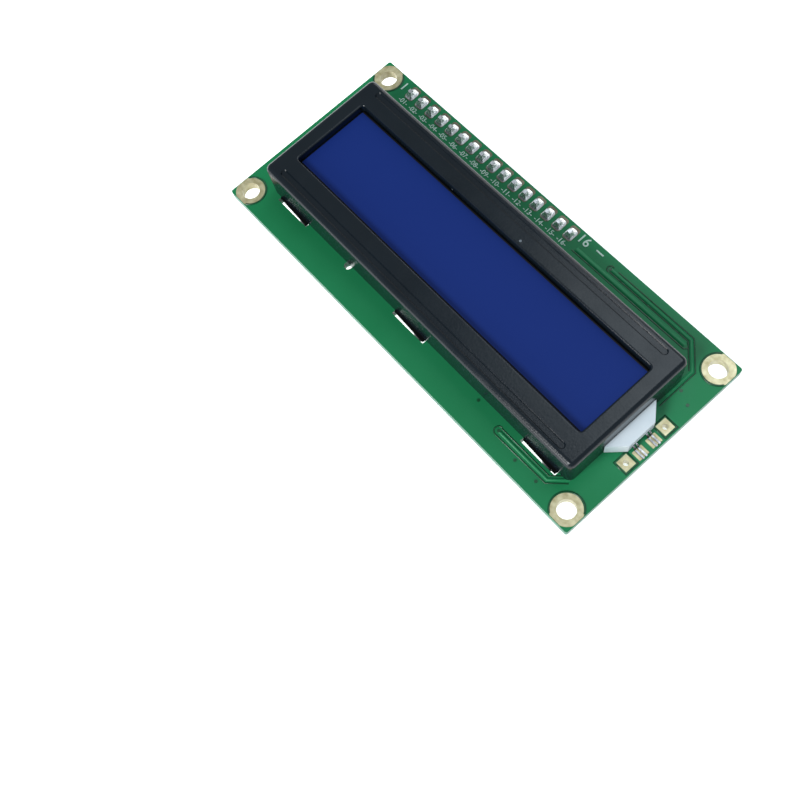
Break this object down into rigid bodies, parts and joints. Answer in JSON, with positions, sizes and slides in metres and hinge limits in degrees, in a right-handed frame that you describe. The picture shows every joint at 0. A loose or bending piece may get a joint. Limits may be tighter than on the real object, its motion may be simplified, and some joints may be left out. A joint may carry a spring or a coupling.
{
  "type": "character lcd module",
  "caption": "Flat character display module: a green board with a black steel bezel round a blue window, and a small serial adapter board on pins behind it.",
  "frame": {"origin": "centre of the four corner holes, on the front face of the display board", "axes": "+X along the display, +Y towards the long pin header, +Z out of the screen"},
  "size_m": [0.0805, 0.036, 0.0176],
  "materials": {
    "solder_mask": "glossy green lacquer over glass fibre",
    "black_mask": "glossy black lacquer over glass fibre",
    "gold_plating": "pale plated copper",
    "bezel_paint": "black, satin",
    "screen_film": "blue film with a soft gloss",
    "clear_glass": "clear glass plate",
    "clear_acrylic": "clear moulded acrylic",
    "white_film": "white reflecting film",
    "strip_rubber": "translucent rubber with dark contact lines",
    "lamp_white": "white moulding with a clear lens",
    "epoxy_black": "smooth black epoxy",
    "chip_black": "fine-grained black moulding",
    "tin": "bright tin",
    "solder": "smooth bright solder",
    "header_black": "black moulding",
    "trimmer_blue": "bright blue moulding",
    "rotor_brass": "brushed brass",
    "resistor_ceramic": "dark glazed ceramic",
    "capacitor_ceramic": "tan ceramic"
  },
  "bodies": {
    "module": {"lcd_board": "solder_mask", "corner_rings": "gold_plating", "tab_lands": "gold_plating", "lead_lands": "solder", "board_lands": "gold_plating", "bezel": "bezel_paint", "reflector_sheet": "white_film", "light_guide": "clear_acrylic", "diffuser_sheet": "white_film", "rear_polarizer": "screen_film", "rear_glass": "clear_glass", "front_glass": "clear_glass", "front_polarizer": "screen_film", "contact_strips": "strip_rubber", "lamp_shroud": "white_film", "backlight_lamp": "lamp_white", "lamp_leads": "tin", "controller_drop": "epoxy_black", "driver_drop": "epoxy_black", "board_resistors": "resistor_ceramic", "board_resistor_ends": "tin", "header_block": "header_black", "header_pins": "tin", "front_joints": "solder", "adapter_joints": "solder", "adapter_board": "black_mask", "tail_joints": "solder", "expander_chip": "chip_black", "expander_leads": "tin", "trimmer_body": "trimmer_blue", "trimmer_pins": "tin", "serial_block": "header_black", "serial_pins": "tin", "jumper_block": "header_black", "jumper_pins": "tin", "transistor_body": "chip_black", "transistor_leads": "tin", "power_lamp": "lamp_white", "power_lamp_ends": "tin", "adapter_resistors": "resistor_ceramic", "adapter_resistor_ends": "tin", "adapter_capacitor": "capacitor_ceramic", "adapter_capacitor_ends": "tin", "adapter_lands": "solder"},
    "rotor": {"trimmer_rotor": "rotor_brass"},
    "jumper": {"jumper_cap": "header_black", "jumper_clip": "tin"}
  },
  "joints": [
    {"name": "contrast_turn", "type": "hinge", "parent": "module", "child": "rotor", "pos_m": [-0.0245, 0.0094, -0.0095], "axis": [0, 0, -1], "range_deg": [-120, 120]},
    {"name": "jumper_pull", "type": "slide", "parent": "module", "child": "jumper", "axis": [1, 0, 0], "range_m": [0, 0.0065]}
  ]
}
